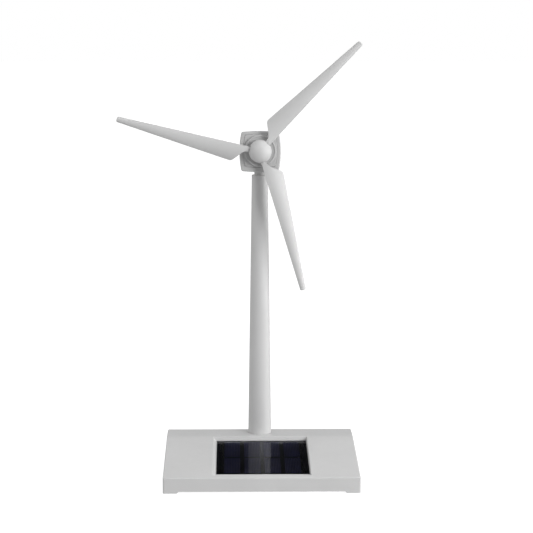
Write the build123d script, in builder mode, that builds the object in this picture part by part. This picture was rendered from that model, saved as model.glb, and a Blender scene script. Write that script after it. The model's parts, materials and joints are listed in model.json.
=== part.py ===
from build123d import *

import os
from math import atan2, cos, degrees, radians, sin, tan

os.makedirs("parts", exist_ok=True)

# Desk-top wind turbine with a solar panel in its base. Millimetres, +Z up, front towards -Y.
# The origin is the middle of the base's footprint, on the surface that the turbine stands on.

# Base
BASE_W = 150.0
BASE_D = 110.0
DECK_H = 23.0
FRONT_H = 12.0
DECK_D = 24.0
WALL = 2.0
SKIN = 2.2
CREASE_R = 60.0
CORNER_EDGE_R = 1.2
TOP_EDGE_R = 0.8
FOOT_H = 1.3
FOOT_L = 10.6
FOOT_SLOPE = 1.2
COVER_T = 2.0
COVER_GAP = 0.2
BOSS_R = 4.5
BOSS_BOTTOM = 5.4
BASE_SCREW_X = 66.0
BASE_SCREW_Y = 46.0
BASE_SCREW_R = 1.3
BASE_SCREW_L = 7.0
BASE_HEAD_R = 2.6
BASE_HEAD_T = 1.6
HEAD_RECESS = 2.1

# Recess and solar panel, measured along the sloping top and square to it
RECESS_W = 75.0
RECESS_L = 79.8
RECESS_X = 0.1
RECESS_REAR = 1.3
LEDGE_W = 72.8
LEDGE_L = 76.6
LEDGE_X = 0.6
RIM_R = 0.5
RIM_FOUND_WITHIN = 0.1
PANEL_DROP = 2.8
FLOOR_DROP = 5.5
TRAY_T = 1.6
PANEL_W = 71.4
PANEL_L = 69.6
PANEL_X = 1.1
PANEL_REAR = 3.1
PANEL_FIT = 0.2
RESIN_T = 0.6
CELL_T = 0.2
BOARD_T = 1.6
TAPE_W = 8.0
CELL_COLUMNS = 4
CELL_ROWS = 2
CELL_W = 12.4
CELL_PITCH_X = 15.65
CELL_L = 30.6
CELL_PITCH_Y = 33.0
LEAD_SLOT_W = 16.0
LEAD_SLOT_L = 6.0
LEAD_SLOT_REAR = 10.0

# Screws, as shares of the head's radius, its thickness or the shank's radius
SLOT_LENGTH_SHARE = 1.2
SLOT_WIDTH_SHARE = 0.25
SLOT_DEPTH_SHARE = 0.5
HEAD_EDGE_SHARE = 0.33
TIP_SHARE = 0.33

# Tower
TOWER_INSET = 10.5
TOWER_R_FOOT = 9.28
TOWER_R_TOP = 6.37
TOWER_TOP = 232.8
TOWER_WALL = 1.9
SEAT_DROP = 0.8
SEAT_GAP = 0.25
SEAT_CONE_H = 1.0
PLUG_R = 7.4
PLUG_BORE_R = 5.7
PLUG_BOTTOM = 10.15
PLUG_WEB_T = 3.0
SOCKET_R = 9.5
SOCKET_BOTTOM = 10.0
CLAMP_R = 8.3
CLAMP_T = 2.0
LEAD_HOLE_R = 2.5
TOWER_SCREW_X = 4.2
TOWER_SCREW_R = 1.1
TOWER_HEAD_R = 2.0
TOWER_HEAD_T = 1.4
RUN_FIT = 0.05

# Yaw bearing
BUSH_R = 5.4
BUSH_L = 12.0
BUSH_SHAFT_L = 16.0
SPIGOT_R = 4.35
SPIGOT_BORE_R = 2.4
SPIGOT_BOTTOM = 217.6
CLIP_T = 0.8
CLIP_GAP = 0.15
CLIP_R = 5.1
CLIP_GROOVE = 0.6
CLIP_MOUTH = 4.0
FLANGE_R = 8.0
FLANGE_T = 1.5
SPIGOT_SCREW_X = 6.2
SPIGOT_SCREW_R = 0.8
SPIGOT_HEAD_R = 1.4
SPIGOT_HEAD_T = 0.8
SPIGOT_SCREW_L = 2.6

# Nacelle; a place along it is its distance in front of the tower's axis
HUB_Z = 253.1
NACELLE_DROP = 0.76
NACELLE_HALF_W = 16.3
NACELLE_HALF_H = 16.1
CORNER_X = 14.6
CORNER_Z = 15.3
CORNER_R = 1.8
NACELLE_WALL = 1.8
RIM_FRONT = 15.6
RIM_EDGE_R = 1.0
TAPER_STATIONS = (
    (11.0, 1.0, 0.0),
    (-4.0, 0.94, 0.8),
    (-15.0, 0.89, 1.5),
    (-26.0, 0.80, 1.9),
    (-34.0, 0.66, 1.8),
    (-38.0, 0.50, 1.5),
)
FACE_SHARE = 0.81
REBATE_SHARE = 0.82
LEDGE_SHARE = 0.765
FACE_BACK = 13.8
FACE_FRONT = 16.0
FACE_EDGE_R = 0.5
LEDGE_BACK = 12.2
COLLAR_R = 12.5
COLLAR_W = 1.4
COLLAR_BACK = 15.3
COLLAR_FRONT = 18.2
COLLAR_EDGE_R = 0.5
DISH_FRONT = 17.7
DISH_BORE_R = 2.0

# Motor
MOTOR_R = 12.0
CAN_T = 0.8
CAN_BACK = 2.6
CAP_BACK = 1.3
CAP_SPIGOT = 0.8
MOTOR_BOSS_R = 3.0
MOTOR_BOSS_FRONT = 15.4
FRONT_BUSH_R = 2.5
FRONT_BUSH_BACK = 12.3
FRONT_BUSH_FRONT = 15.2
REAR_BUSH_R = 2.2
REAR_BUSH_FRONT = 3.4
SHAFT_R = 1.0
SHAFT_FIT = 0.03
SHAFT_BACK = 1.6
SHAFT_FRONT = 25.0
MAGNET_IN_R = 8.7
MAGNET_BACK = 5.4
MAGNET_FRONT = 11.6
MAGNET_SPAN = 130.0
CORE_R = 8.2
CORE_HUB_R = 2.6
POLES = 3
POLE_W = 2.4
SHOE_T = 1.3
SHOE_SPAN = 96.0
CORE_BACK = 6.0
CORE_FRONT = 10.8
COIL_W = 5.6
COIL_IN_R = 3.0
COIL_OUT_R = 6.1
COIL_OVERHANG = 0.8
COMMUTATOR_R = 2.2
COMMUTATOR_SLOT_W = 0.37
COMMUTATOR_SLOT_DEPTH = 0.55
COMMUTATOR_BACK = 3.7
COMMUTATOR_FRONT = 5.8
BRUSH_T = 0.25
BRUSH_HALF_H = 3.0
BRUSH_FRONT = 4.8
TAB_X = 5.0
TAB_W = 2.0
TAB_T = 0.5
TAB_DROP = 6.0
TAB_BACK = -1.0
MOTOR_SCREW_X = 7.0
MOTOR_SCREW_R = 1.0
MOTOR_HEAD_R = 1.9
MOTOR_HEAD_T = 1.1
MOTOR_HEAD_GAP = 0.1

# Rotor
BLADE_COUNT = 3
BLADE_PLANE = 23.0
ROTOR_R = 114.6
FIRST_BLADE = 47.05
HUB_R = 7.6
HUB_BACK = 18.9
HUB_FRONT = 25.8
HUB_CHAMFER = 2.2
SPINNER_R = 9.0
SPINNER_WALL = 1.2
SPINNER_BACK = 19.5
SPINNER_SHOULDER = 22.0
SPINNER_TIP = 31.0
DOME_RUN = 0.6
DOME_BLUNTNESS = 0.5
NOTCH_W = 5.4
NOTCH_FRONT = 25.8
PIN_R = 1.5
PIN_START = 3.2
PIN_END = 10.0
ROOT_START = 7.9
ROOT_TRAILING = 2.3
ROOT_FLARE_AT = 12.4
FLARE_R = 5.0
LEADING = -1.9
TIP_TRAILING = 2.5
SHOULDER_TRAILING = 12.4
SHOULDER_AT = 20.9
SHOULDER_R = 5.0
ROOT_TWIST = 19.0
TIP_TWIST = 6.0
ROOT_THICKNESS = 3.4
TIP_THICKNESS = 1.7
CREST_AT = 0.4
FRONT_BULGE = 0.75
NOSE_R = 0.55
TAIL_R = 0.3
TIP_CORNER_R = 1.9
TRIM = 0.3
BLADE_STATIONS = (6.0, 40.0, 80.0, 118.0)

# Leads
LEAD_R = 0.5
LEAD_X = 0.85
LEAD_SPLIT = 226.0
SPLIT_GAP = 0.1
RUN_SHARE = 0.45
LEAD_PAD_X = 4.0
LEAD_PAD_GAP = 0.2
LEAD_FLOOR = 5.0
LEAD_TURN = 3.35
LEAD_SPREADS_AT = 241.2
LEAD_SPREAD_BY = 243.6
# The lower lead's way down from the pad: aside of the middle, behind the pad, and height
LOWER_ROUTE = ((4.0, 0.4, 11.5), (3.4, 5.0, 6.6), (2.0, 13.0, 4.9))

# Worked out from the above
tower_y = BASE_D / 2 - TOWER_INSET
crease_y = BASE_D / 2 - DECK_D
slope_angle = degrees(atan2(DECK_H - FRONT_H, BASE_D - DECK_D))
nacelle_z = HUB_Z - NACELLE_DROP
nacelle_floor = nacelle_z - NACELLE_HALF_H + NACELLE_WALL
flange_top = nacelle_floor + FLANGE_T
bush_bottom = TOWER_TOP - BUSH_L
clip_top = bush_bottom - CLIP_GAP
tower_axis = Axis((0, tower_y, 0), (0, 0, 1))
rotor_axis = Axis((0, tower_y, HUB_Z), (0, -1, 0))

# Lies on the sloping top with its origin on the crease: X to the right, Y up the slope.
slope = Plane(
    origin=(0, crease_y, DECK_H),
    x_dir=(1, 0, 0),
    z_dir=(0, -sin(radians(slope_angle)), cos(radians(slope_angle))),
)
recess_middle = -(RECESS_REAR + RECESS_L / 2)
panel_middle = -(PANEL_REAR + PANEL_L / 2)
# Upright plane through the tower's axis, for profiles turned about it: X is the radius, Y the height.
tower_profile = Plane(origin=(0, tower_y, 0), x_dir=(1, 0, 0), z_dir=(0, -1, 0))
# Upright plane through the rotor's axis: X is the distance in front of the tower, Y the radius.
rotor_profile = Plane(origin=(0, tower_y, HUB_Z), x_dir=(0, -1, 0), z_dir=(-1, 0, 0))


def across(front, z=HUB_Z):
    """Upright plane across the rotor's axis, so far in front of the tower's axis, facing forward."""
    return Plane(origin=(0, tower_y - front, z), x_dir=(1, 0, 0), z_dir=(0, -1, 0))


def level(z):
    """Level plane at height z, with its origin on the tower's axis."""
    return Plane(origin=(0, tower_y, z))


def tower_r(z):
    """Outer radius of the tapered tower at height z."""
    share = (z - DECK_H) / (TOWER_TOP - DECK_H)
    return TOWER_R_FOOT + share * (TOWER_R_TOP - TOWER_R_FOOT)


def nacelle_section(share):
    """A square with bowed sides and rounded corners, at a share of the nacelle's size."""
    x, z = CORNER_X * share, CORNER_Z * share
    width, height = NACELLE_HALF_W * share, NACELLE_HALF_H * share
    with BuildSketch(Plane.XY) as section:
        with BuildLine():
            ThreePointArc((-x, z), (0, height), (x, z))
            ThreePointArc((x, z), (width, 0), (x, -z))
            ThreePointArc((x, -z), (0, -height), (-x, -z))
            ThreePointArc((-x, -z), (-width, 0), (-x, z))
        make_face()
        fillet(section.vertices(), CORNER_R * share)
    return section.sketch


def on_recess_rim(edge):
    """True for the four edges where the recess meets the sloping top."""
    middle = slope.to_local_coords(edge.center())
    off_side = abs(abs(middle.X - RECESS_X) - RECESS_W / 2)
    off_end = abs(abs(middle.Y - recess_middle) - RECESS_L / 2)
    return max(abs(middle.Z), min(off_side, off_end)) < RIM_FOUND_WITHIN


# ---------------------------------------------------------------- base housing
# A one-piece moulded cover, open below: a level deck at the rear and a slope with the panel's recess.
with BuildPart() as base_housing:
    with BuildSketch(Plane.YZ.offset(-BASE_W / 2)) as side:
        with BuildLine():
            Polyline(
                (-BASE_D / 2, 0),
                (-BASE_D / 2, FRONT_H),
                (crease_y, DECK_H),
                (BASE_D / 2, DECK_H),
                (BASE_D / 2, 0),
                close=True,
            )
        make_face()
        fillet(side.vertices().sort_by_distance((crease_y, DECK_H))[0], CREASE_R)
    extrude(amount=BASE_W)
    fillet(base_housing.edges().filter_by(Axis.Z), CORNER_EDGE_R)
    top_edges = base_housing.edges().filter_by(lambda e: e.bounding_box().min.Z > FRONT_H - RIM_FOUND_WITHIN)
    outline_edges = top_edges.filter_by(
        lambda e: abs(abs(e.center().X) - BASE_W / 2) < CORNER_EDGE_R
        or abs(abs(e.center().Y) - BASE_D / 2) < CORNER_EDGE_R
    )
    fillet(outline_edges, TOP_EDGE_R)
    # Hollow, with a skin of its own thickness on top
    with BuildSketch(Plane.YZ.offset(WALL - BASE_W / 2)):
        with BuildLine():
            Polyline(
                (WALL - BASE_D / 2, 0),
                (WALL - BASE_D / 2, FRONT_H - SKIN),
                (crease_y, DECK_H - SKIN),
                (BASE_D / 2 - WALL, DECK_H - SKIN),
                (BASE_D / 2 - WALL, 0),
                close=True,
            )
        make_face()
    extrude(amount=BASE_W - 2 * WALL, mode=Mode.SUBTRACT)
    # Tray under the recess, then the recess with bevelled upper walls
    with BuildSketch(slope.offset(-SKIN / 2)):
        with Locations((RECESS_X, recess_middle)):
            Rectangle(RECESS_W, RECESS_L)
    extrude(amount=SKIN / 2 - FLOOR_DROP - TRAY_T)
    with BuildSketch(slope):
        with Locations((RECESS_X, recess_middle)):
            Rectangle(RECESS_W, RECESS_L)
    with BuildSketch(slope.offset(-PANEL_DROP)):
        with Locations((LEDGE_X, recess_middle)):
            Rectangle(LEDGE_W, LEDGE_L)
    loft(mode=Mode.SUBTRACT)
    with BuildSketch(slope.offset(-PANEL_DROP)):
        with Locations((PANEL_X, panel_middle)):
            Rectangle(PANEL_W + 2 * PANEL_FIT, PANEL_L + 2 * PANEL_FIT)
    extrude(amount=PANEL_DROP - FLOOR_DROP, mode=Mode.SUBTRACT)
    with BuildSketch(slope.offset(-FLOOR_DROP)):
        with Locations((0, -LEAD_SLOT_REAR)):
            SlotOverall(LEAD_SLOT_W, LEAD_SLOT_L)
    extrude(amount=-TRAY_T, mode=Mode.SUBTRACT)
    # Socket for the tower: a boss inside the deck, a bore and a shallow seat round the tower's foot
    with BuildSketch(level(SOCKET_BOTTOM)):
        Circle(SOCKET_R)
        with Locations((0, BASE_D / 2 - WALL / 2 - tower_y)):
            Rectangle(2 * SOCKET_R, WALL, mode=Mode.SUBTRACT)
    extrude(amount=DECK_H - SKIN / 2 - SOCKET_BOTTOM)
    with BuildSketch(level(SOCKET_BOTTOM)):
        Circle(PLUG_R + RUN_FIT)
    extrude(amount=DECK_H - SOCKET_BOTTOM, mode=Mode.SUBTRACT)
    with BuildSketch(level(DECK_H - SEAT_DROP)):
        Circle(TOWER_R_FOOT + SEAT_GAP)
    extrude(amount=SEAT_DROP, mode=Mode.SUBTRACT)
    # Bosses for the cover's screws
    with BuildSketch(Plane.XY.offset(BOSS_BOTTOM)):
        with GridLocations(2 * BASE_SCREW_X, 2 * BASE_SCREW_Y, 2, 2):
            Circle(BOSS_R)
    extrude(until=Until.NEXT)
    with BuildSketch(Plane.XY.offset(BOSS_BOTTOM)):
        with GridLocations(2 * BASE_SCREW_X, 2 * BASE_SCREW_Y, 2, 2):
            Circle(BASE_SCREW_R)
    extrude(amount=FRONT_H - SKIN - BOSS_BOTTOM, mode=Mode.SUBTRACT)
    # The walls stop short of the floor except at the corners, where they form the feet
    for plane, length in ((Plane.XZ, BASE_W), (Plane.YZ, BASE_D)):
        half = length / 2 - FOOT_L
        with BuildSketch(plane):
            with BuildLine():
                Polyline(
                    (-half, 0),
                    (FOOT_SLOPE - half, FOOT_H),
                    (half - FOOT_SLOPE, FOOT_H),
                    (half, 0),
                    close=True,
                )
            make_face()
        extrude(amount=BASE_W, both=True, mode=Mode.SUBTRACT)
    fillet(base_housing.edges().filter_by(on_recess_rim), RIM_R)
base_housing.part.label = "base_housing"
export_step(base_housing.part, "parts/base_housing.step")

# ---------------------------------------------------------------- base cover and its screws
cover_w = BASE_W - 2 * (WALL + COVER_GAP)
cover_d = BASE_D - 2 * (WALL + COVER_GAP)
with BuildPart() as base_cover:
    with BuildSketch(Plane.XY.offset(FOOT_H)):
        Rectangle(cover_w, cover_d)
    extrude(amount=COVER_T)
    with BuildSketch(Plane.XY.offset(FOOT_H)):
        with GridLocations(2 * BASE_SCREW_X, 2 * BASE_SCREW_Y, 2, 2):
            Circle(BOSS_R)
    extrude(amount=BOSS_BOTTOM - FOOT_H)
    with BuildSketch(Plane.XY.offset(FOOT_H)):
        with GridLocations(2 * BASE_SCREW_X, 2 * BASE_SCREW_Y, 2, 2):
            Circle(BASE_SCREW_R)
    extrude(amount=BOSS_BOTTOM - FOOT_H, mode=Mode.SUBTRACT)
    with BuildSketch(Plane.XY.offset(FOOT_H)):
        with GridLocations(2 * BASE_SCREW_X, 2 * BASE_SCREW_Y, 2, 2):
            Circle(BASE_HEAD_R + COVER_GAP)
    extrude(amount=HEAD_RECESS, mode=Mode.SUBTRACT)
base_cover.part.label = "base_cover"
export_step(base_cover.part, "parts/base_cover.step")


def screw(plane, head_r, head_t, shank_r, length):
    """Pan-head screw: the head on the plane, the shank running along its normal, a cross slot in the head."""
    with BuildPart() as piece:
        with BuildSketch(plane):
            Circle(shank_r)
        extrude(amount=length)
        with BuildSketch(plane):
            Circle(head_r)
        extrude(amount=-head_t)
        fillet(piece.faces().sort_by(Axis(plane.origin, plane.z_dir))[0].edges(), HEAD_EDGE_SHARE * head_t)
        with BuildSketch(plane.offset(-head_t)):
            Rectangle(SLOT_LENGTH_SHARE * head_r, SLOT_WIDTH_SHARE * head_r)
            Rectangle(SLOT_WIDTH_SHARE * head_r, SLOT_LENGTH_SHARE * head_r)
        extrude(amount=SLOT_DEPTH_SHARE * head_t, mode=Mode.SUBTRACT)
        chamfer(piece.faces().sort_by(Axis(plane.origin, plane.z_dir))[-1].edges(), TIP_SHARE * shank_r)
    return piece.part


with BuildPart() as base_screws:
    for x in (-BASE_SCREW_X, BASE_SCREW_X):
        for y in (-BASE_SCREW_Y, BASE_SCREW_Y):
            head_seat = Plane(origin=(x, y, FOOT_H + HEAD_RECESS))
            add(screw(head_seat, BASE_HEAD_R, BASE_HEAD_T, BASE_SCREW_R, BASE_SCREW_L - HEAD_RECESS))
base_screws.part.label = "base_screws"
export_step(base_screws.part, "parts/base_screws.step")

# ---------------------------------------------------------------- solar panel
board_drop = PANEL_DROP + RESIN_T
cell_drop = board_drop - CELL_T
with BuildPart() as panel_board:
    with BuildSketch(slope.offset(-board_drop)):
        with Locations((PANEL_X, panel_middle)):
            Rectangle(PANEL_W, PANEL_L)
    extrude(amount=-BOARD_T)
panel_board.part.label = "panel_board"
export_step(panel_board.part, "parts/panel_board.step")

with BuildPart() as panel_cells:
    with BuildSketch(slope.offset(-board_drop)):
        with Locations((PANEL_X, panel_middle)):
            with GridLocations(CELL_PITCH_X, CELL_PITCH_Y, CELL_COLUMNS, CELL_ROWS):
                Rectangle(CELL_W, CELL_L)
    extrude(amount=CELL_T)
panel_cells.part.label = "panel_cells"
export_step(panel_cells.part, "parts/panel_cells.step")

# Clear resin over the board and round the cells
with BuildPart() as panel_resin:
    with BuildSketch(slope.offset(-board_drop)):
        with Locations((PANEL_X, panel_middle)):
            Rectangle(PANEL_W, PANEL_L)
    extrude(amount=RESIN_T)
    add(panel_cells.part, mode=Mode.SUBTRACT)
panel_resin.part.label = "panel_resin"
export_step(panel_resin.part, "parts/panel_resin.step")

# Two strips of double-sided foam tape between the board and the recess floor
with BuildPart() as panel_tape:
    with BuildSketch(slope.offset(-FLOOR_DROP)):
        with Locations((PANEL_X, panel_middle)):
            with GridLocations(PANEL_W - TAPE_W, 0, 2, 1):
                Rectangle(TAPE_W, PANEL_L)
    extrude(amount=FLOOR_DROP - board_drop - BOARD_T)
panel_tape.part.label = "panel_tape"
export_step(panel_tape.part, "parts/panel_tape.step")

# ---------------------------------------------------------------- tower
bush_floor = TOWER_TOP - BUSH_SHAFT_L - CLIP_T
tube_top = bush_floor - SEAT_CONE_H
plug_top = DECK_H - SEAT_DROP
web_top = PLUG_BOTTOM + PLUG_WEB_T
with BuildPart() as tower:
    with BuildSketch(tower_profile):
        with BuildLine():
            Polyline(
                (LEAD_HOLE_R, PLUG_BOTTOM),
                (PLUG_R, PLUG_BOTTOM),
                (PLUG_R, plug_top),
                (tower_r(plug_top), plug_top),
                (TOWER_R_TOP, TOWER_TOP),
                (BUSH_R, TOWER_TOP),
                (BUSH_R, bush_floor),
                (tower_r(tube_top) - TOWER_WALL, tube_top),
                (tower_r(DECK_H) - TOWER_WALL, DECK_H),
                (PLUG_BORE_R, plug_top),
                (PLUG_BORE_R, web_top),
                (LEAD_HOLE_R, web_top),
                close=True,
            )
        make_face()
    revolve(axis=tower_axis)
    with BuildSketch(level(PLUG_BOTTOM)):
        with GridLocations(2 * TOWER_SCREW_X, 0, 2, 1):
            Circle(TOWER_SCREW_R)
    extrude(amount=PLUG_WEB_T, mode=Mode.SUBTRACT)
tower.part.label = "tower"
export_step(tower.part, "parts/tower.step")

# Washer plate that pulls the tower's plug down into the socket
with BuildPart() as tower_clamp:
    with BuildSketch(level(SOCKET_BOTTOM - CLAMP_T)):
        Circle(CLAMP_R)
        Circle(LEAD_HOLE_R, mode=Mode.SUBTRACT)
        with GridLocations(2 * TOWER_SCREW_X, 0, 2, 1):
            Circle(TOWER_SCREW_R, mode=Mode.SUBTRACT)
    extrude(amount=CLAMP_T)
tower_clamp.part.label = "tower_clamp"
export_step(tower_clamp.part, "parts/tower_clamp.step")

with BuildPart() as tower_screws:
    for x in (-TOWER_SCREW_X, TOWER_SCREW_X):
        head_seat = Plane(origin=(x, tower_y, SOCKET_BOTTOM - CLAMP_T))
        add(screw(head_seat, TOWER_HEAD_R, TOWER_HEAD_T, TOWER_SCREW_R, CLAMP_T + PLUG_WEB_T))
tower_screws.part.label = "tower_screws"
export_step(tower_screws.part, "parts/tower_screws.step")

# ---------------------------------------------------------------- yaw bearing
with BuildPart() as yaw_bush:
    with BuildSketch(level(bush_bottom)):
        Circle(BUSH_R)
        Circle(SPIGOT_R + RUN_FIT, mode=Mode.SUBTRACT)
    extrude(amount=BUSH_L)
yaw_bush.part.label = "yaw_bush"
export_step(yaw_bush.part, "parts/yaw_bush.step")

# Hollow spigot under the nacelle, with a flange inside the nacelle and a groove for the clip
with BuildPart() as yaw_spigot:
    with BuildSketch(tower_profile):
        with BuildLine():
            Polyline(
                (SPIGOT_BORE_R, SPIGOT_BOTTOM),
                (SPIGOT_R, SPIGOT_BOTTOM),
                (SPIGOT_R, clip_top - CLIP_T),
                (SPIGOT_R - CLIP_GROOVE, clip_top - CLIP_T),
                (SPIGOT_R - CLIP_GROOVE, clip_top),
                (SPIGOT_R, clip_top),
                (SPIGOT_R, nacelle_floor),
                (FLANGE_R, nacelle_floor),
                (FLANGE_R, flange_top),
                (SPIGOT_BORE_R, flange_top),
                close=True,
            )
        make_face()
    revolve(axis=tower_axis)
    with BuildSketch(level(nacelle_floor)):
        with GridLocations(2 * SPIGOT_SCREW_X, 0, 2, 1):
            Circle(SPIGOT_SCREW_R)
    extrude(amount=FLANGE_T, mode=Mode.SUBTRACT)
yaw_spigot.part.label = "yaw_spigot"
export_step(yaw_spigot.part, "parts/yaw_spigot.step")

# Spring clip that stops the spigot lifting out of its bush
with BuildPart() as yaw_clip:
    with BuildSketch(level(clip_top - CLIP_T)):
        Circle(CLIP_R)
        Circle(SPIGOT_R - CLIP_GROOVE, mode=Mode.SUBTRACT)
        with Locations((0, CLIP_R)):
            Rectangle(CLIP_MOUTH, 2 * CLIP_R, mode=Mode.SUBTRACT)
    extrude(amount=CLIP_T)
yaw_clip.part.label = "yaw_clip"
export_step(yaw_clip.part, "parts/yaw_clip.step")

with BuildPart() as spigot_screws:
    for x in (-SPIGOT_SCREW_X, SPIGOT_SCREW_X):
        head_seat = Plane(origin=(x, tower_y, flange_top), z_dir=(0, 0, -1))
        add(screw(head_seat, SPIGOT_HEAD_R, SPIGOT_HEAD_T, SPIGOT_SCREW_R, SPIGOT_SCREW_L))
spigot_screws.part.label = "spigot_screws"
export_step(spigot_screws.part, "parts/spigot_screws.step")

# ---------------------------------------------------------------- nacelle shell
inner_share = 1 - NACELLE_WALL / NACELLE_HALF_W
straight_back = TAPER_STATIONS[0][0]
with BuildPart() as nacelle_shell:
    with BuildSketch(across(straight_back, nacelle_z)):
        add(nacelle_section(1.0))
    extrude(amount=RIM_FRONT - straight_back)
    fillet(nacelle_shell.faces().sort_by(Axis.Y)[0].edges(), RIM_EDGE_R)
    for front, share, drop in TAPER_STATIONS:
        with BuildSketch(across(front, nacelle_z - drop)):
            add(nacelle_section(share))
    loft()
    # Cavity, the ledge at the front and the rebate that takes the front cover
    with BuildSketch(across(straight_back, nacelle_z)):
        add(nacelle_section(inner_share))
    extrude(amount=LEDGE_BACK - straight_back, mode=Mode.SUBTRACT)
    for front, share, drop in TAPER_STATIONS:
        with BuildSketch(across(max(front, TAPER_STATIONS[-1][0] + NACELLE_WALL), nacelle_z - drop)):
            add(nacelle_section(share * inner_share))
    loft(mode=Mode.SUBTRACT)
    with BuildSketch(across(LEDGE_BACK)):
        add(nacelle_section(LEDGE_SHARE))
    extrude(amount=FACE_BACK - LEDGE_BACK, mode=Mode.SUBTRACT)
    with BuildSketch(across(FACE_BACK)):
        add(nacelle_section(REBATE_SHARE))
    extrude(amount=RIM_FRONT - FACE_BACK, mode=Mode.SUBTRACT)
    # Hole for the spigot and pilot holes for its screws, with a flat pad under the flange
    with BuildSketch(level(nacelle_floor)):
        Circle(FLANGE_R + RUN_FIT)
    extrude(amount=-NACELLE_WALL / 2)
    with BuildSketch(level(nacelle_floor)):
        Circle(FLANGE_R + RUN_FIT)
    extrude(amount=FLANGE_T, mode=Mode.SUBTRACT)
    with BuildSketch(level(nacelle_floor)):
        Circle(SPIGOT_R)
    extrude(amount=-2 * NACELLE_WALL, mode=Mode.SUBTRACT)
    with BuildSketch(level(nacelle_floor)):
        with GridLocations(2 * SPIGOT_SCREW_X, 0, 2, 1):
            Circle(SPIGOT_SCREW_R)
    extrude(amount=FLANGE_T - SPIGOT_SCREW_L, mode=Mode.SUBTRACT)
nacelle_shell.part.label = "nacelle_shell"
export_step(nacelle_shell.part, "parts/nacelle_shell.step")

# ---------------------------------------------------------------- nacelle front cover and collar
with BuildPart() as nacelle_front:
    with BuildSketch(across(FACE_BACK)):
        add(nacelle_section(FACE_SHARE))
    extrude(amount=FACE_FRONT - FACE_BACK)
    fillet(nacelle_front.faces().sort_by(Axis.Y)[0].edges(), FACE_EDGE_R)
    with BuildSketch(across(COLLAR_BACK)):
        Circle(COLLAR_R)
        Circle(COLLAR_R - COLLAR_W, mode=Mode.SUBTRACT)
    extrude(amount=FACE_FRONT - COLLAR_BACK, mode=Mode.SUBTRACT)
    with BuildSketch(across(FACE_BACK)):
        Circle(MOTOR_BOSS_R)
        with GridLocations(2 * MOTOR_SCREW_X, 0, 2, 1):
            Circle(MOTOR_SCREW_R)
    extrude(amount=FACE_FRONT - FACE_BACK, mode=Mode.SUBTRACT)
    with BuildSketch(across(FACE_FRONT - MOTOR_HEAD_T)):
        with GridLocations(2 * MOTOR_SCREW_X, 0, 2, 1):
            Circle(MOTOR_HEAD_R + MOTOR_HEAD_GAP)
    extrude(amount=MOTOR_HEAD_T, mode=Mode.SUBTRACT)
nacelle_front.part.label = "nacelle_front"
export_step(nacelle_front.part, "parts/nacelle_front.step")

# A shallow dish behind the spinner: its rim is pressed into the cover's groove and its floor hides the screws
with BuildPart() as nacelle_collar:
    with BuildSketch(across(COLLAR_BACK)):
        Circle(COLLAR_R)
        Circle(COLLAR_R - COLLAR_W, mode=Mode.SUBTRACT)
    extrude(amount=COLLAR_FRONT - COLLAR_BACK)
    fillet(nacelle_collar.faces().sort_by(Axis.Y)[0].edges(), COLLAR_EDGE_R)
    with BuildSketch(across(FACE_FRONT)):
        Circle(COLLAR_R - COLLAR_W / 2)
        Circle(DISH_BORE_R, mode=Mode.SUBTRACT)
    extrude(amount=DISH_FRONT - FACE_FRONT)
nacelle_collar.part.label = "nacelle_collar"
export_step(nacelle_collar.part, "parts/nacelle_collar.step")

# ---------------------------------------------------------------- motor, held still in the nacelle
with BuildPart() as motor_can:
    with BuildSketch(across(CAN_BACK)):
        Circle(MOTOR_R)
    extrude(amount=FACE_BACK - CAN_BACK)
    with BuildSketch(across(CAN_BACK)):
        Circle(MOTOR_R - CAN_T)
    extrude(amount=FACE_BACK - CAN_T - CAN_BACK, mode=Mode.SUBTRACT)
    with BuildSketch(across(FRONT_BUSH_BACK)):
        Circle(MOTOR_BOSS_R)
    extrude(amount=MOTOR_BOSS_FRONT - FRONT_BUSH_BACK)
    with BuildSketch(across(FRONT_BUSH_BACK)):
        Circle(FRONT_BUSH_R)
    extrude(amount=MOTOR_BOSS_FRONT - FRONT_BUSH_BACK, mode=Mode.SUBTRACT)
    with BuildSketch(across(FACE_BACK)):
        with GridLocations(2 * MOTOR_SCREW_X, 0, 2, 1):
            Circle(MOTOR_SCREW_R)
    extrude(amount=-CAN_T, mode=Mode.SUBTRACT)
motor_can.part.label = "motor_can"
export_step(motor_can.part, "parts/motor_can.step")

with BuildPart() as motor_end_cap:
    with BuildSketch(across(CAP_BACK)):
        Circle(MOTOR_R)
    extrude(amount=CAN_BACK - CAP_BACK)
    with BuildSketch(across(CAN_BACK)):
        Circle(MOTOR_R - CAN_T)
    extrude(amount=CAP_SPIGOT)
    with BuildSketch(across(CAP_BACK)):
        Circle(REAR_BUSH_R)
        with Locations((-TAB_X, -TAB_DROP), (TAB_X, -TAB_DROP)):
            Rectangle(TAB_W, TAB_T)
    extrude(amount=CAN_BACK + CAP_SPIGOT - CAP_BACK, mode=Mode.SUBTRACT)
motor_end_cap.part.label = "motor_end_cap"
export_step(motor_end_cap.part, "parts/motor_end_cap.step")

with BuildPart() as motor_front_bush:
    with BuildSketch(across(FRONT_BUSH_BACK)):
        Circle(FRONT_BUSH_R)
        Circle(SHAFT_R + SHAFT_FIT, mode=Mode.SUBTRACT)
    extrude(amount=FRONT_BUSH_FRONT - FRONT_BUSH_BACK)
motor_front_bush.part.label = "motor_front_bush"
export_step(motor_front_bush.part, "parts/motor_front_bush.step")

with BuildPart() as motor_rear_bush:
    with BuildSketch(across(CAP_BACK)):
        Circle(REAR_BUSH_R)
        Circle(SHAFT_R + SHAFT_FIT, mode=Mode.SUBTRACT)
    extrude(amount=REAR_BUSH_FRONT - CAP_BACK)
motor_rear_bush.part.label = "motor_rear_bush"
export_step(motor_rear_bush.part, "parts/motor_rear_bush.step")

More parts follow.
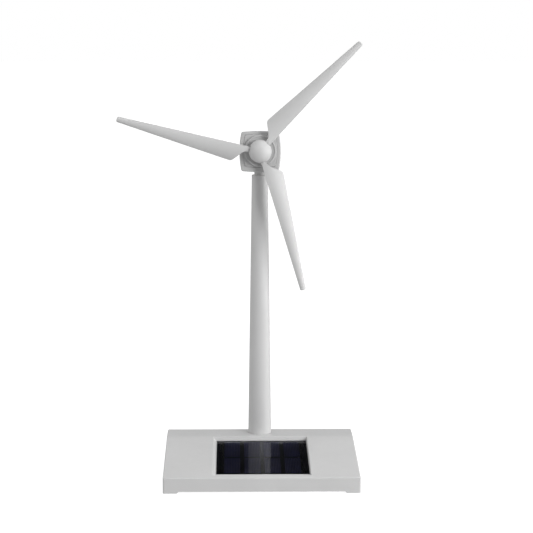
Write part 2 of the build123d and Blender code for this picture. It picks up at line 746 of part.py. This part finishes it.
# A pair of curved magnets, one on each side of the can
with BuildPart() as motor_magnets:
    with BuildSketch(across(MAGNET_BACK)):
        Circle(MOTOR_R - CAN_T)
        Circle(MAGNET_IN_R, mode=Mode.SUBTRACT)
        gap_half = radians((180 - MAGNET_SPAN) / 2)
        gap_w = 2 * MOTOR_R * sin(gap_half)
        Rectangle(gap_w, 2 * MOTOR_R, mode=Mode.SUBTRACT)
    extrude(amount=MAGNET_FRONT - MAGNET_BACK)
motor_magnets.part.label = "motor_magnets"
export_step(motor_magnets.part, "parts/motor_magnets.step")

# Two leaf brushes, one each side of the commutator
cap_face = CAN_BACK + CAP_SPIGOT
with BuildPart() as motor_brushes:
    with BuildSketch(across(cap_face)):
        with GridLocations(2 * (COMMUTATOR_R + RUN_FIT) + BRUSH_T, 0, 2, 1):
            Rectangle(BRUSH_T, 2 * BRUSH_HALF_H)
    extrude(amount=BRUSH_FRONT - cap_face)
motor_brushes.part.label = "motor_brushes"
export_step(motor_brushes.part, "parts/motor_brushes.step")

with BuildPart() as motor_terminals:
    with BuildSketch(across(TAB_BACK)):
        with Locations((-TAB_X, -TAB_DROP), (TAB_X, -TAB_DROP)):
            Rectangle(TAB_W, TAB_T)
    extrude(amount=cap_face - TAB_BACK)
motor_terminals.part.label = "motor_terminals"
export_step(motor_terminals.part, "parts/motor_terminals.step")

with BuildPart() as motor_screws:
    for x in (-MOTOR_SCREW_X, MOTOR_SCREW_X):
        head_seat = Plane(
            origin=(x, tower_y - FACE_FRONT + MOTOR_HEAD_T, HUB_Z),
            x_dir=(1, 0, 0),
            z_dir=(0, 1, 0),
        )
        screw_length = FACE_FRONT - MOTOR_HEAD_T - FACE_BACK + CAN_T
        add(screw(head_seat, MOTOR_HEAD_R, MOTOR_HEAD_T, MOTOR_SCREW_R, screw_length))
motor_screws.part.label = "motor_screws"
export_step(motor_screws.part, "parts/motor_screws.step")

# ---------------------------------------------------------------- what turns with the rotor
with BuildPart() as motor_shaft:
    with BuildSketch(across(SHAFT_BACK)):
        Circle(SHAFT_R)
    extrude(amount=SHAFT_FRONT - SHAFT_BACK)
    chamfer(motor_shaft.faces().filter_by(GeomType.PLANE).edges(), SHAFT_R / 4)
motor_shaft.part.label = "motor_shaft"
export_step(motor_shaft.part, "parts/motor_shaft.step")

# Laminated iron core: a hub, three poles and their curved shoes
with BuildPart() as armature_core:
    with BuildSketch(across(CORE_BACK)):
        Circle(CORE_R)
        Circle(CORE_R - SHOE_T, mode=Mode.SUBTRACT)
        slot_w = 2 * CORE_R * sin(radians((360 / POLES - SHOE_SPAN) / 2))
        with PolarLocations(CORE_R, POLES, start_angle=180 / POLES):
            Rectangle(3 * SHOE_T, slot_w, mode=Mode.SUBTRACT)
        with PolarLocations((CORE_R - SHOE_T / 2) / 2, POLES):
            Rectangle(CORE_R - SHOE_T / 2, POLE_W)
        Circle(CORE_HUB_R)
        Circle(SHAFT_R, mode=Mode.SUBTRACT)
    extrude(amount=CORE_FRONT - CORE_BACK)
armature_core.part.label = "armature_core"
export_step(armature_core.part, "parts/armature_core.step")

# One coil round each pole
with BuildPart() as armature_coils:
    with BuildSketch(across(CORE_BACK - COIL_OVERHANG)):
        with PolarLocations((COIL_IN_R + COIL_OUT_R) / 2, POLES):
            Rectangle(COIL_OUT_R - COIL_IN_R, COIL_W)
    extrude(amount=CORE_FRONT - CORE_BACK + 2 * COIL_OVERHANG)
    with BuildSketch(across(CORE_BACK)):
        with PolarLocations((COIL_IN_R + COIL_OUT_R) / 2, POLES):
            Rectangle(COIL_OUT_R, POLE_W)
    extrude(amount=CORE_FRONT - CORE_BACK, mode=Mode.SUBTRACT)
armature_coils.part.label = "armature_coils"
export_step(armature_coils.part, "parts/armature_coils.step")

with BuildPart() as commutator:
    with BuildSketch(across(COMMUTATOR_BACK)):
        Circle(COMMUTATOR_R)
        Circle(SHAFT_R, mode=Mode.SUBTRACT)
    extrude(amount=COMMUTATOR_FRONT - COMMUTATOR_BACK)
    with BuildSketch(across(COMMUTATOR_BACK)):
        with PolarLocations(COMMUTATOR_R, POLES):
            Rectangle(2 * COMMUTATOR_SLOT_DEPTH, COMMUTATOR_SLOT_W)
    extrude(amount=COMMUTATOR_FRONT - COMMUTATOR_BACK, mode=Mode.SUBTRACT)
commutator.part.label = "commutator"
export_step(commutator.part, "parts/commutator.step")


def blade_plane(angle):
    """Rotor plane turned to one blade: X runs out along the blade, Y towards its trailing edge."""
    out = (cos(radians(angle)), 0, sin(radians(angle)))
    return Plane(origin=(0, tower_y - BLADE_PLANE, HUB_Z), x_dir=out, z_dir=(0, -1, 0))


def blade_section(angle, radius):
    """Plane across a blade at a radius: X towards the trailing edge, Y forward, its normal outwards."""
    base = blade_plane(angle)
    return Plane(
        origin=base.origin + base.x_dir * radius,
        x_dir=base.y_dir,
        z_dir=base.x_dir,
    )


blade_angles = [FIRST_BLADE + 360 / BLADE_COUNT * number for number in range(BLADE_COUNT)]

with BuildPart() as hub:
    with BuildSketch(across(HUB_BACK)):
        Circle(HUB_R)
    extrude(amount=HUB_FRONT - HUB_BACK)
    chamfer(hub.faces().sort_by(Axis.Y)[0].edges(), HUB_CHAMFER)
    with BuildSketch(across(HUB_BACK)):
        Circle(SHAFT_R)
    extrude(amount=SHAFT_FRONT - HUB_BACK, mode=Mode.SUBTRACT)
    for angle in blade_angles:
        with BuildSketch(blade_section(angle, PIN_START)):
            Circle(PIN_R)
        extrude(amount=HUB_R, mode=Mode.SUBTRACT)
hub.part.label = "hub"
export_step(hub.part, "parts/hub.step")


def dome(radius, tip):
    """Half section of a round nose: straight over the hub, then curving in to the tip."""
    reach = tip - SPINNER_SHOULDER
    with BuildSketch(Plane.XY) as section:
        with BuildLine():
            Line((SPINNER_BACK, radius), (SPINNER_SHOULDER, radius))
            Bezier(
                (SPINNER_SHOULDER, radius),
                (SPINNER_SHOULDER + DOME_RUN * reach, radius),
                (tip, DOME_BLUNTNESS * radius),
                (tip, 0),
            )
            Polyline((tip, 0), (SPINNER_BACK, 0), (SPINNER_BACK, radius))
        make_face()
    return section.sketch


with BuildPart() as spinner:
    with BuildSketch(rotor_profile):
        add(dome(SPINNER_R, SPINNER_TIP))
    revolve(axis=rotor_axis)
    with BuildSketch(rotor_profile):
        add(dome(SPINNER_R - SPINNER_WALL, SPINNER_TIP - SPINNER_WALL))
    revolve(axis=rotor_axis, mode=Mode.SUBTRACT)
    # A round-ended notch in the rim for each blade's root
    for angle in blade_angles:
        with BuildSketch(blade_section(angle, HUB_R / 2)):
            with Locations((0, NOTCH_FRONT - NOTCH_W / 2 - BLADE_PLANE)):
                Circle(NOTCH_W / 2)
            back_end = SPINNER_BACK - BLADE_PLANE - 1
            front_end = NOTCH_FRONT - NOTCH_W / 2 - BLADE_PLANE
            with Locations((0, (back_end + front_end) / 2)):
                Rectangle(NOTCH_W, front_end - back_end)
        extrude(amount=SPINNER_R, mode=Mode.SUBTRACT)
spinner.part.label = "spinner"
export_step(spinner.part, "parts/spinner.step")


def blade_lens(radius):
    """The blade's thin section at a radius: round nose forward, trailing edge set back by the twist."""
    share = (radius - SHOULDER_AT) / (ROTOR_R - SHOULDER_AT)
    twist = radians(ROOT_TWIST + (TIP_TWIST - ROOT_TWIST) * radius / ROTOR_R)
    thickness = ROOT_THICKNESS + (TIP_THICKNESS - ROOT_THICKNESS) * radius / ROTOR_R
    trailing = SHOULDER_TRAILING + share * (TIP_TRAILING - SHOULDER_TRAILING)
    along = Vector(cos(twist), -sin(twist))
    normal = Vector(sin(twist), cos(twist))
    nose = along * (LEADING / cos(twist) + NOSE_R)
    tail = along * (trailing / cos(twist) - TAIL_R)
    crest = nose + (tail - nose) * CREST_AT
    front = crest + normal * thickness * FRONT_BULGE
    back = crest - normal * thickness * (1 - FRONT_BULGE)
    with BuildSketch(Plane.XY) as section:
        with BuildLine():
            ThreePointArc(nose + normal * NOSE_R, nose - along * NOSE_R, nose - normal * NOSE_R)
            ThreePointArc(nose - normal * NOSE_R, back, tail - normal * TAIL_R)
            ThreePointArc(tail - normal * TAIL_R, tail + along * TAIL_R, tail + normal * TAIL_R)
            ThreePointArc(tail + normal * TAIL_R, front, nose + normal * NOSE_R)
        make_face()
    return section.sketch


for number, angle in enumerate(blade_angles, start=1):
    with BuildPart() as blade:
        for radius in BLADE_STATIONS:
            with BuildSketch(blade_section(angle, radius)):
                add(blade_lens(radius))
        loft()
        # Outline seen along the rotor's axis: narrow root, slanting shoulder, rounded tip
        with BuildSketch(blade_plane(angle).offset(-ROTOR_R / 4)) as outline:
            with BuildLine():
                Polyline(
                    (ROOT_START, LEADING - TRIM),
                    (ROOT_START, ROOT_TRAILING),
                    (ROOT_FLARE_AT, ROOT_TRAILING),
                    (SHOULDER_AT, SHOULDER_TRAILING + TRIM),
                    (ROTOR_R, TIP_TRAILING + TRIM),
                    (ROTOR_R, LEADING - TRIM),
                    close=True,
                )
            make_face()
            fillet(outline.vertices().sort_by_distance((SHOULDER_AT, SHOULDER_TRAILING))[0], SHOULDER_R)
            fillet(outline.vertices().sort_by_distance((ROOT_FLARE_AT, ROOT_TRAILING))[0], FLARE_R)
            fillet(outline.vertices().sort_by(Axis.X)[-2:], TIP_CORNER_R)
        extrude(amount=ROTOR_R / 2, mode=Mode.INTERSECT)
        with BuildSketch(blade_section(angle, PIN_START)):
            Circle(PIN_R)
        extrude(amount=PIN_END - PIN_START)
    blade.part.label = f"blade_{number}"
    export_step(blade.part, f"parts/blade_{number}.step")


# ---------------------------------------------------------------- leads
def corner_radii(points):
    """Largest tidy arc at each corner of a route: RUN_SHARE of the shorter run over tan of half the turn."""
    radii = []
    for before, at, after in zip(points, points[1:], points[2:]):
        run_in = Vector(*at) - Vector(*before)
        run_out = Vector(*after) - Vector(*at)
        turn = radians(run_in.get_angle(run_out))
        radii.append(RUN_SHARE * min(run_in.length, run_out.length) / tan(turn / 2))
    return radii


def lead(points):
    """Round insulated lead along a route of straight runs joined by arcs."""
    radii = corner_radii(points)
    print("lead radii", [round(radius, 1) for radius in radii])
    with BuildPart() as piece:
        with BuildLine() as route:
            FilletPolyline(*points, radius=radii)
        start = Vector(*points[0])
        with BuildSketch(Plane(origin=start, z_dir=Vector(*points[1]) - start)):
            Circle(LEAD_R)
        sweep()
    return piece.part


pad_y = crease_y - LEAD_SLOT_REAR * cos(radians(slope_angle))
pad_z = DECK_H - LEAD_SLOT_REAR * sin(radians(slope_angle)) - (board_drop + BOARD_T)
tab_z = HUB_Z - TAB_DROP - TAB_T / 2
for colour, hand in (("red", 1), ("black", -1)):
    lower = lead(
        [
            (hand * LEAD_PAD_X, pad_y, pad_z - LEAD_PAD_GAP),
            *((hand * x, pad_y + behind, z) for x, behind, z in LOWER_ROUTE),
            (hand * LEAD_X, tower_y - LEAD_TURN, LEAD_FLOOR),
            (hand * LEAD_X, tower_y, LEAD_FLOOR + LEAD_TURN),
            (hand * LEAD_X, tower_y, LEAD_SPLIT - SPLIT_GAP),
        ]
    )
    lower.label = f"lead_{colour}_lower"
    export_step(lower, f"parts/lead_{colour}_lower.step")
    upper = lead(
        [
            (hand * LEAD_X, tower_y, LEAD_SPLIT + SPLIT_GAP),
            (hand * LEAD_X, tower_y, LEAD_SPREADS_AT),
            (hand * TAB_X, tower_y, LEAD_SPREAD_BY),
            (hand * TAB_X, tower_y, tab_z),
        ]
    )
    upper.label = f"lead_{colour}_upper"
    export_step(upper, f"parts/lead_{colour}_upper.step")
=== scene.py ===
import json
from math import cos, radians, sin

import bmesh
import bpy
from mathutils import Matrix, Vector


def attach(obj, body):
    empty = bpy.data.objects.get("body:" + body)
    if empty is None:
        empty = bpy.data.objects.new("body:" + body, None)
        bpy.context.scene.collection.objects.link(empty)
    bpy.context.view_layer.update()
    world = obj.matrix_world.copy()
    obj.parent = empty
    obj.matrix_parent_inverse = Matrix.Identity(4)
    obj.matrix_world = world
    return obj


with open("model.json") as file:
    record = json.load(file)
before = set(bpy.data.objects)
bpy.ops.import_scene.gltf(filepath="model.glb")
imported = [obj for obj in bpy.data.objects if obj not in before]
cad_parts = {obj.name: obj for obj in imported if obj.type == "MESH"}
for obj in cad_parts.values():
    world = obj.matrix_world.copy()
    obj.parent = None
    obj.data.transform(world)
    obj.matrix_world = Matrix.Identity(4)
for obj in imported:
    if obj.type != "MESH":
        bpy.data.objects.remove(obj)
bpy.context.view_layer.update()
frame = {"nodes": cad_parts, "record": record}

MM = 0.001

# ---------------------------------------------------------------- camera
# A short telephoto view from the front, as high as the upper blade's tip and a little left of the tower.
CAMERA_AT = (-0.0221, -1.2755, 0.3505)
CAMERA_PITCH = 8.25
CAMERA_YAW = 0.815
CAMERA_LENS = 112.3
CAMERA_SHIFT = 0.0204

camera_data = bpy.data.cameras.new("camera")
camera_data.lens = CAMERA_LENS
camera_data.sensor_width = 36.0
camera_data.shift_x = CAMERA_SHIFT
camera_data.clip_start = 0.01
camera_data.clip_end = 50.0
camera = bpy.data.objects.new("camera", camera_data)
camera.location = CAMERA_AT
camera.rotation_euler = (radians(90 - CAMERA_PITCH), 0, radians(-CAMERA_YAW))
bpy.context.scene.collection.objects.link(camera)
bpy.context.scene.camera = camera
bpy.context.scene.view_settings.view_transform = "Standard"

# ---------------------------------------------------------------- materials
# A Mix node has a set of sockets for each kind of value, so these go by number.
MIX_COLOUR_A = 6
MIX_COLOUR_B = 7
MIX_COLOUR_OUT = 2
MIX_FLOAT_A = 2
MIX_FLOAT_B = 3


class Shader:
    """A material's node tree, with short calls to add and join nodes."""

    def __init__(self, name, base, roughness, **settings):
        self.material = bpy.data.materials.new(name)
        self.material.use_nodes = True
        self.tree = self.material.node_tree
        self.surface = self.tree.nodes["Principled BSDF"]
        self.surface.inputs["Base Color"].default_value = (*base, 1)
        self.surface.inputs["Roughness"].default_value = roughness
        for socket, value in settings.items():
            self.surface.inputs[socket.replace("_", " ")].default_value = value

    def node(self, kind, **settings):
        """A new node, with its inputs set by name."""
        made = self.tree.nodes.new(kind)
        for socket, value in settings.items():
            made.inputs[socket.replace("_", " ")].default_value = value
        return made

    def join(self, source, target):
        self.tree.links.new(source, target)

    def noise(self, scale, detail=4.0, roughness=0.5):
        """Fractal noise of about scale lumps in a metre, fixed to the piece."""
        made = self.node("ShaderNodeTexNoise", Scale=scale, Detail=detail, Roughness=roughness)
        self.join(self.node("ShaderNodeTexCoord").outputs["Object"], made.inputs["Vector"])
        return made.outputs["Fac"]

    def ramp(self, value, low, high, start, end):
        """value mapped from low..high to start..end."""
        made = self.node("ShaderNodeMapRange", From_Min=low, From_Max=high, To_Min=start, To_Max=end)
        self.join(value, made.inputs["Value"])
        return made.outputs[0]

    def blend_colours(self, value, first, second):
        """A colour between first and second."""
        made = self.node("ShaderNodeMix")
        made.data_type = "RGBA"
        made.inputs[MIX_COLOUR_A].default_value = (*first, 1)
        made.inputs[MIX_COLOUR_B].default_value = (*second, 1)
        self.join(value, made.inputs[0])
        return made.outputs[MIX_COLOUR_OUT]

    def bump(self, height, distance):
        made = self.node("ShaderNodeBump", Distance=distance)
        self.join(height, made.inputs["Height"])
        self.join(made.outputs["Normal"], self.surface.inputs["Normal"])


def moulded_plastic(name, dark, light, roughness, grain):
    """Moulded plastic: faint mottling, a fine spark-eroded grain and uneven gloss."""
    shader = Shader(name, light, roughness, Specular_IOR_Level=0.45)
    mottle = shader.ramp(shader.noise(35, 3), 0.35, 0.65, 0, 1)
    shader.join(shader.blend_colours(mottle, dark, light), shader.surface.inputs["Base Color"])
    gloss = shader.ramp(shader.noise(220, 5), 0.3, 0.7, roughness - 0.05, roughness + 0.07)
    shader.join(gloss, shader.surface.inputs["Roughness"])
    shader.bump(shader.noise(2600, 2, 0.6), grain)
    return shader.material


def grey_plastic(name, dark, light, roughness, grain):
    """Moulded plastic without a hue."""
    return moulded_plastic(name, (dark,) * 3, (light,) * 3, roughness, grain)


def metal(name, colour, roughness, scale):
    """Plated or drawn metal, with stains of uneven tint and gloss."""
    shader = Shader(name, colour, roughness, Metallic=1.0)
    gloss = shader.ramp(shader.noise(scale, 6), 0.3, 0.7, roughness - 0.08, roughness + 0.12)
    shader.join(gloss, shader.surface.inputs["Roughness"])
    tint = shader.ramp(shader.noise(scale / 3, 3), 0.3, 0.7, 0, 1)
    darker = tuple(0.8 * value for value in colour)
    shader.join(shader.blend_colours(tint, darker, colour), shader.surface.inputs["Base Color"])
    shader.bump(shader.noise(scale * 4, 2), 0.02 * MM)
    return shader.material


def solar_silicon():
    """Dark blue-black cells, cloudy from their crystals."""
    shader = Shader("solar_silicon", (0.036, 0.038, 0.140), 0.32)
    cloud = shader.ramp(shader.noise(160, 5), 0.35, 0.65, 0, 1)
    colour = shader.blend_colours(cloud, (0.031, 0.033, 0.118), (0.042, 0.045, 0.164))
    shader.join(colour, shader.surface.inputs["Base Color"])
    return shader.material


def clear_resin():
    """Glossy clear resin over the cells, with a very slight ripple."""
    shader = Shader("clear_resin", (0.92, 0.93, 1.0), 0.03, IOR=1.12, Transmission_Weight=1.0)
    shader.bump(shader.noise(60, 2), 0.02 * MM)
    return shader.material


FINISHES = {
    "white_plastic": grey_plastic("white_plastic", 0.525, 0.545, 0.42, 0.02 * MM),
    "dark_plastic": moulded_plastic(
        "dark_plastic", (0.020, 0.020, 0.022), (0.030, 0.030, 0.032), 0.45, 0.03 * MM
    ),
    "nylon": moulded_plastic("nylon", (0.60, 0.58, 0.53), (0.66, 0.64, 0.58), 0.40, 0.02 * MM),
    "board": moulded_plastic("board", (0.027, 0.027, 0.032), (0.035, 0.035, 0.042), 0.35, 0.01 * MM),
    "foam_tape": moulded_plastic("foam_tape", (0.70, 0.70, 0.66), (0.80, 0.80, 0.76), 0.8, 0.1 * MM),
    "red_lead": moulded_plastic("red_lead", (0.45, 0.015, 0.012), (0.55, 0.020, 0.016), 0.4, 0.02 * MM),
    "black_lead": grey_plastic("black_lead", 0.01, 0.02, 0.4, 0.02 * MM),
    "ferrite": moulded_plastic("ferrite", (0.025, 0.025, 0.028), (0.040, 0.040, 0.043), 0.6, 0.05 * MM),
    "steel": metal("steel", (0.56, 0.57, 0.58), 0.3, 900),
    "spring_steel": metal("spring_steel", (0.33, 0.34, 0.36), 0.3, 900),
    "bronze": metal("bronze", (0.52, 0.34, 0.17), 0.4, 1200),
    "copper": metal("copper", (0.60, 0.25, 0.10), 0.3, 1500),
    "core_steel": metal("core_steel", (0.20, 0.20, 0.21), 0.5, 700),
    "silicon": solar_silicon(),
    "resin": clear_resin(),
}
# The nacelle's pieces get a darker white than the rest: painted shade, standing in for the shadow that the
# spinner and blades cast on the head.
PAINTED_SHADE_WHITE = grey_plastic("head_plastic_painted_shade", 0.445, 0.465, 0.45, 0.02 * MM)
PAINTED_SHADE_NODES = ("nacelle_shell", "nacelle_front", "nacelle_collar")

for entry in frame["record"]["subparts"]:
    # The nacelle's pieces take the darker white, a painted shade for the shadow of the spinner and blades.
    in_painted_shade = entry["node"] in PAINTED_SHADE_NODES
    mesh = frame["nodes"][entry["node"]].data
    mesh.materials.clear()
    mesh.materials.append(PAINTED_SHADE_WHITE if in_painted_shade else FINISHES[entry["material_slot"]])

# ---------------------------------------------------------------- printed lines on the cells
CELL_COLUMNS = 4
CELL_ROWS = 2
LINES_PER_CELL = 10
LINE_W = 0.18 * MM
LINE_T = 0.015 * MM
LINE_MARGIN = 0.6 * MM


def cell_tops():
    """The upper face of each cell as its near left, near right, far left and far right corners."""
    mesh = frame["nodes"]["panel_cells"].data
    upper = {index for face in mesh.polygons if face.normal.z > 0.9 for index in face.vertices}
    corners = sorted({tuple(round(value, 6) for value in mesh.vertices[index].co) for index in upper})
    in_column = len(corners) // CELL_COLUMNS
    in_cell = in_column // CELL_ROWS
    for first in range(0, len(corners), in_column):
        along = sorted(corners[first:first + in_column], key=lambda corner: corner[1])
        for row in range(0, in_column, in_cell):
            cell = along[row:row + in_cell]
            near, far = sorted(cell[:2]), sorted(cell[2:])
            yield [Vector(corner) for corner in near + far]


def add_bar(mesh, start, end, side, up):
    """A thin closed bar from start to end, twice as wide as side and as tall as up."""
    ring = []
    for centre in (start, end):
        ring.append([mesh.verts.new(centre + offset) for offset in (-side, side, side + up, up - side)])
    for first, second in zip(range(4), (1, 2, 3, 0)):
        mesh.faces.new((ring[0][first], ring[0][second], ring[1][second], ring[1][first]))
    mesh.faces.new(ring[0][::-1])
    mesh.faces.new(ring[1])


def cell_lines():
    """Silver contact fingers printed on the cells, running from the front to the rear of each."""
    mesh = bmesh.new()
    for near_left, near_right, far_left, _ in cell_tops():
        across = near_right - near_left
        along = (far_left - near_left).normalized()
        up = across.cross(along).normalized() * LINE_T
        side = across.normalized() * LINE_W / 2
        for number in range(LINES_PER_CELL):
            place = across * (number + 0.5) / LINES_PER_CELL
            start = near_left + place + along * LINE_MARGIN
            end = far_left + place - along * LINE_MARGIN
            add_bar(mesh, start, end, side, up)
    bmesh.ops.recalc_face_normals(mesh, faces=mesh.faces)
    data = bpy.data.meshes.new("cell_lines")
    mesh.to_mesh(data)
    mesh.free()
    silver = moulded_plastic("silver_print", (0.21, 0.21, 0.30), (0.28, 0.28, 0.38), 0.4, 0.01 * MM)
    data.materials.append(silver)
    made = bpy.data.objects.new("cell_lines", data)
    bpy.context.scene.collection.objects.link(made)
    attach(made, "stand")


cell_lines()

# ---------------------------------------------------------------- stage and light
FLOOR_HALF = 15.0
FLOOR_Z = -0.2 * MM
FLOOR_GLOW = 0.82
WORLD_FRONT = 0.38
WORLD_BEHIND = 1.28
WORLD_GLOSS = 0.02
WORLD_SEEN = 1.0
LIGHT_DISTANCE = 2.0
LIGHT_TARGET = Vector((0, 0, 0.15))


def pale_floor():
    """A level sheet that glows a little, so that it fades into the white behind it."""
    corners = [(x * FLOOR_HALF, y * FLOOR_HALF, FLOOR_Z) for x, y in ((-1, -1), (1, -1), (1, 1), (-1, 1))]
    mesh = bpy.data.meshes.new("floor")
    mesh.from_pydata(corners, [], [(0, 1, 2, 3)])
    shader = Shader("pale_floor", (0.35, 0.35, 0.35), 0.9, Emission_Color=(1, 1, 1, 1))
    shader.surface.inputs["Emission Strength"].default_value = FLOOR_GLOW
    mesh.materials.append(shader.material)
    floor = bpy.data.objects.new("floor", mesh)
    floor.visible_diffuse = False
    floor.visible_glossy = False
    bpy.context.scene.collection.objects.link(floor)


def studio_world():
    """White to the eye; as light, bright behind the object and dim in front, and dimmer still in gloss."""
    world = bpy.data.worlds.new("studio")
    world.use_nodes = True
    nodes = world.node_tree.nodes
    join = world.node_tree.links.new
    background = nodes["Background"]
    background.inputs["Color"].default_value = (1, 1, 1, 1)
    way = nodes.new("ShaderNodeSeparateXYZ")
    join(nodes.new("ShaderNodeTexCoord").outputs["Generated"], way.inputs[0])
    depth = nodes.new("ShaderNodeMapRange")
    depth.inputs["From Min"].default_value = -1
    depth.inputs["From Max"].default_value = 1
    depth.inputs["To Min"].default_value = WORLD_FRONT
    depth.inputs["To Max"].default_value = WORLD_BEHIND
    join(way.outputs["Y"], depth.inputs["Value"])
    strength = depth.outputs[0]
    path = nodes.new("ShaderNodeLightPath")
    for ray, value in (("Is Glossy Ray", WORLD_GLOSS), ("Is Camera Ray", WORLD_SEEN)):
        mix = nodes.new("ShaderNodeMix")
        mix.inputs[MIX_FLOAT_B].default_value = value
        join(path.outputs[ray], mix.inputs[0])
        join(strength, mix.inputs[MIX_FLOAT_A])
        strength = mix.outputs[0]
    join(strength, background.inputs["Strength"])
    bpy.context.scene.world = world


def soft_light(name, azimuth, elevation, size, power, in_gloss=False):
    """A square light that looks at the middle of the object; azimuth 0 is in front, 90 to the right."""
    level = cos(radians(elevation))
    way = Vector((sin(radians(azimuth)) * level, -cos(radians(azimuth)) * level, sin(radians(elevation))))
    data = bpy.data.lights.new(name, "AREA")
    data.size = size
    data.energy = power
    light = bpy.data.objects.new(name, data)
    light.location = LIGHT_TARGET + way * LIGHT_DISTANCE
    light.rotation_euler = way.to_track_quat("Z", "Y").to_euler()
    light.visible_glossy = in_gloss
    light.visible_transmission = in_gloss
    bpy.context.scene.collection.objects.link(light)


pale_floor()
studio_world()
soft_light("key", 44, 14, 0.8, 28.5)
soft_light("top", 0, 82, 1.5, 5.5)
soft_light("side", 85, 4, 1.4, 11, in_gloss=True)
soft_light("fill", -85, 2, 1.4, 7, in_gloss=True)
